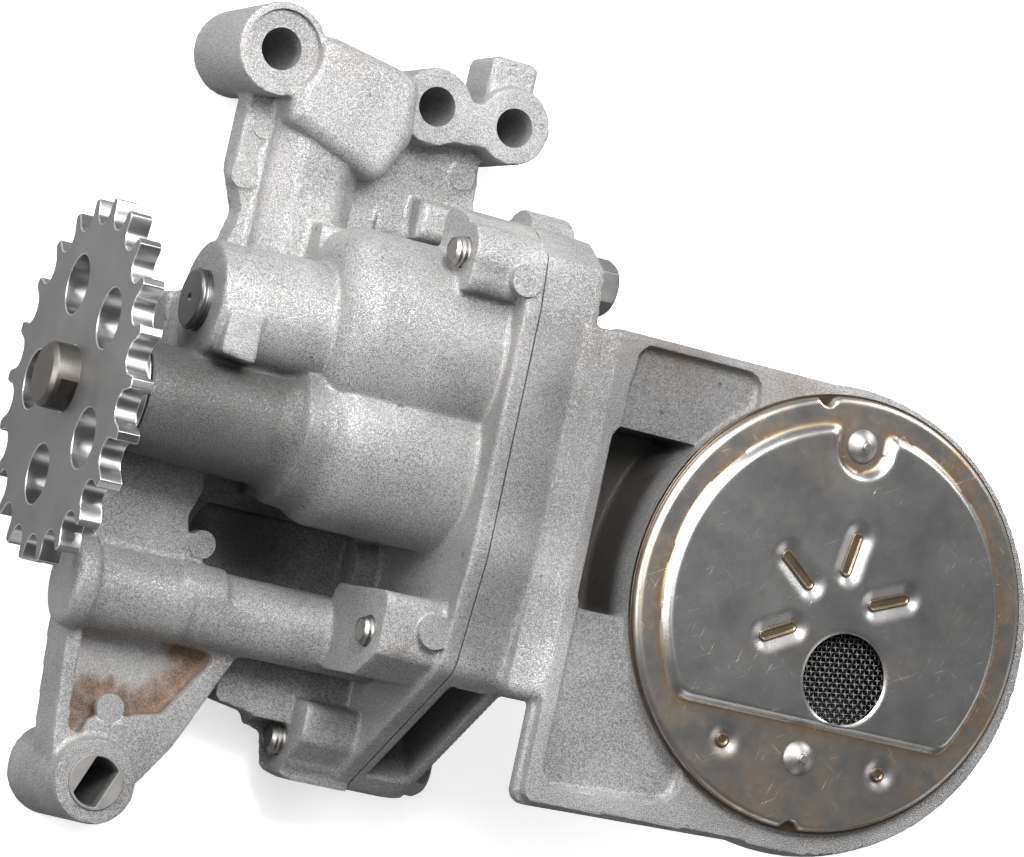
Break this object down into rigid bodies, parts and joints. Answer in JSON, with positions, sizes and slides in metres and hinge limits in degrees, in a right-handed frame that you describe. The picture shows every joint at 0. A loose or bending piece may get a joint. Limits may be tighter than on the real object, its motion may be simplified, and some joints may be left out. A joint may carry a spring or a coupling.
{
  "type": "engine oil pump",
  "caption": "Chain-driven gear oil pump in a cast body with relief valve, mounting ears, chain sprocket and a round pickup strainer.",
  "frame": {"origin": "centre of the main mounting hole on the plane that bolts to the engine block", "axes": "+Z square to the block face, towards the pickup strainer; +X along the drive shaft, from the sprocket to the strainer; +Y from the drive shaft towards the idler gear and the mounting holes"},
  "size_m": [0.2062, 0.1667, 0.0723],
  "materials": {
    "cast": "as cast, blasted",
    "ground_steel": "ground",
    "sprocket_steel": "satin",
    "sheet_steel": "satin",
    "mesh": "matt",
    "zinc": "bright zinc",
    "rubber": "matt"
  },
  "bodies": {
    "housing": {"pump_body": "cast", "pump_cover": "cast", "idler_shaft": "ground_steel", "relief_spring": "ground_steel", "relief_spring_seat": "ground_steel", "cover_bolts": "zinc", "cover_dowels": "ground_steel", "mount_sleeve": "ground_steel", "outlet_seal": "rubber", "gallery_plug": "sheet_steel", "strainer_ring": "sheet_steel", "strainer_screen": "mesh", "strainer_cap": "sheet_steel", "strainer_rivets": "sheet_steel"},
    "driveline": {"drive_shaft": "ground_steel", "drive_gear": "ground_steel", "gear_key": "ground_steel", "drive_sprocket": "sprocket_steel"},
    "idler": {"idler_gear": "ground_steel"},
    "valve": {"relief_piston": "ground_steel"}
  },
  "joints": [
    {"name": "drive_spin", "type": "hinge", "parent": "housing", "child": "driveline", "pos_m": [-0.032, -0.073, 0.037], "axis": [1, 0, 0], "continuous": true},
    {"name": "idler_spin", "type": "hinge", "parent": "housing", "child": "idler", "pos_m": [0.0355, -0.0525, 0.037], "axis": [1, 0, 0], "continuous": true},
    {"name": "relief_slide", "type": "slide", "parent": "housing", "child": "valve", "axis": [1, 0, 0], "range_m": [0, 0.008], "stiffness_N_per_m": 1500, "springref_m": -0.008, "deforming": ["relief_spring"]}
  ],
  "couplings": [
    {"joint": "idler_spin", "follows": "drive_spin", "ratio": -1}
  ]
}
